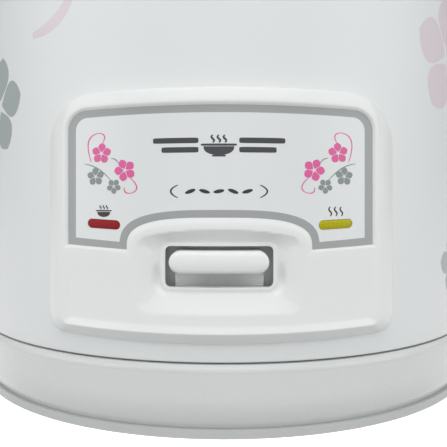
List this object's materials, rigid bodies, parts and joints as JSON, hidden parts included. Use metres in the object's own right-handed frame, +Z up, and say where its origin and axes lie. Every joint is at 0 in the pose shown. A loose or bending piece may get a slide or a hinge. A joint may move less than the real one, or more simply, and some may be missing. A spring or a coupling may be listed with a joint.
{
  "type": "rice cooker",
  "caption": "Jar-type electric rice cooker with hinged domed lid, carry handle, front lever switch panel, inner pot and heating plate with a magnetic thermostat.",
  "frame": {"origin": "on the table, under the body's axis, at the centre of the standing rim", "axes": "+Z up along the body's axis, -Y towards the control panel, +Y towards hinge and power inlet, +X to the right seen from the front"},
  "size_m": [0.2898, 0.2975, 0.2555],
  "materials": {
    "sleeve_steel": "satin white print-coated steel",
    "base_plastic": "fine satin light grey",
    "cover_plastic": "fine satin grey",
    "white_plastic": "satin gloss white",
    "label_plate": "printed satin film",
    "red_lens": "translucent red",
    "yellow_lens": "translucent yellow",
    "foot_rubber": "matte",
    "screw_steel": "zinc plated",
    "bracket_steel": "zinc plated",
    "liner_aluminium": "drawn",
    "heater_aluminium": "cast and turned",
    "pot_aluminium": "non-stick coated inside",
    "spring_steel": "spring wire",
    "ferrite_block": "sintered",
    "switch_plastic": "moulded",
    "board": "paper laminate",
    "lamp_glass": "neon lamp",
    "brass_pins": "stamped",
    "wire_cover": "silicone insulated",
    "silicone": "translucent silicone",
    "clear_plastic": "smoky clear"
  },
  "bodies": {
    "cooker": {"outer_shell": "sleeve_steel", "base_ring": "base_plastic", "bottom_cover": "cover_plastic", "foot_pads": "foot_rubber", "cover_screws": "screw_steel", "liner_brackets": "bracket_steel", "frame_screws": "screw_steel", "inner_shell": "liner_aluminium", "liner_screws": "screw_steel", "warming_band": "wire_cover", "heating_plate": "heater_aluminium", "plate_spacers": "bracket_steel", "plate_studs": "screw_steel", "thermostat_case": "liner_aluminium", "sensor_spring": "spring_steel", "lever_bracket": "bracket_steel", "lever_pin": "screw_steel", "micro_switch": "switch_plastic", "panel_bezel": "white_plastic", "panel_label": "label_plate", "cook_lens": "red_lens", "warm_lens": "yellow_lens", "panel_screws": "screw_steel", "lamp_board": "board", "neon_lamps": "lamp_glass", "power_inlet": "switch_plastic", "inlet_pins": "brass_pins", "inlet_screws": "screw_steel", "terminal_block": "switch_plastic", "thermal_fuse": "bracket_steel", "wiring": "wire_cover", "top_ring": "white_plastic", "latch_spring": "spring_steel", "hinge_pin": "screw_steel", "handle_pins": "white_plastic"},
    "lid": {"lid_outer": "white_plastic", "lid_inner": "white_plastic", "lid_screws": "screw_steel", "inner_cover": "liner_aluminium", "cover_knob": "silicone", "lid_gasket": "silicone"},
    "vent": {"vent_cap": "base_plastic", "vent_seal": "silicone"},
    "latch": {"latch_button": "base_plastic"},
    "handle": {"carry_handle": "base_plastic"},
    "lever": {"lever_arm": "bracket_steel", "switch_knob": "white_plastic"},
    "plunger": {"magnet": "ferrite_block", "pull_rod": "screw_steel"},
    "sensor": {"sensor_cap": "liner_aluminium", "ferrite": "ferrite_block"},
    "collector": {"dew_cup": "clear_plastic"},
    "pot": {"inner_pot": "pot_aluminium"}
  },
  "joints": [
    {"name": "lid_hinge", "type": "hinge", "parent": "cooker", "child": "lid", "pos_m": [0, 0.137, 0.2131], "axis": [-1, 0, 0], "range_deg": [0, 92]},
    {"name": "vent_lift", "type": "slide", "parent": "lid", "child": "vent", "axis": [0, 0, 1], "range_m": [0, 0.032]},
    {"name": "latch_press", "type": "slide", "parent": "cooker", "child": "latch", "axis": [0, 1, 0], "range_m": [0, 0.003], "stiffness_N_per_m": 500, "springref_m": -0.004, "deforming": ["latch_spring"]},
    {"name": "handle_swing", "type": "hinge", "parent": "cooker", "child": "handle", "pos_m": [0, 0.01, 0.1951], "axis": [1, 0, 0], "range_deg": [0, 92]},
    {"name": "lever_press", "type": "hinge", "parent": "cooker", "child": "lever", "pos_m": [0, -0.078, 0.048], "axis": [1, 0, 0], "range_deg": [0, 5.05], "stiffness_Nm_per_rad": 0.5, "springref_deg": -5.73},
    {"name": "plunger_lift", "type": "slide", "parent": "cooker", "child": "plunger", "axis": [0, 0, 1], "range_m": [0, 0.00698]},
    {"name": "sensor_press", "type": "slide", "parent": "cooker", "child": "sensor", "axis": [0, 0, 1], "range_m": [-0.0016, 0], "stiffness_N_per_m": 600, "springref_m": 0.004, "deforming": ["sensor_spring"]},
    {"name": "cup_draw", "type": "slide", "parent": "cooker", "child": "collector", "axis": [0, 1, 0], "range_m": [0, 0.035]},
    {"name": "pot_turn", "type": "hinge", "parent": "cooker", "child": "pot", "pos_m": [0, 0, 0.0728], "axis": [0, 0, 1], "continuous": true}
  ],
  "couplings": [
    {"joint": "plunger_lift", "follows": "lever_press", "m_per_rad": 0.078}
  ]
}
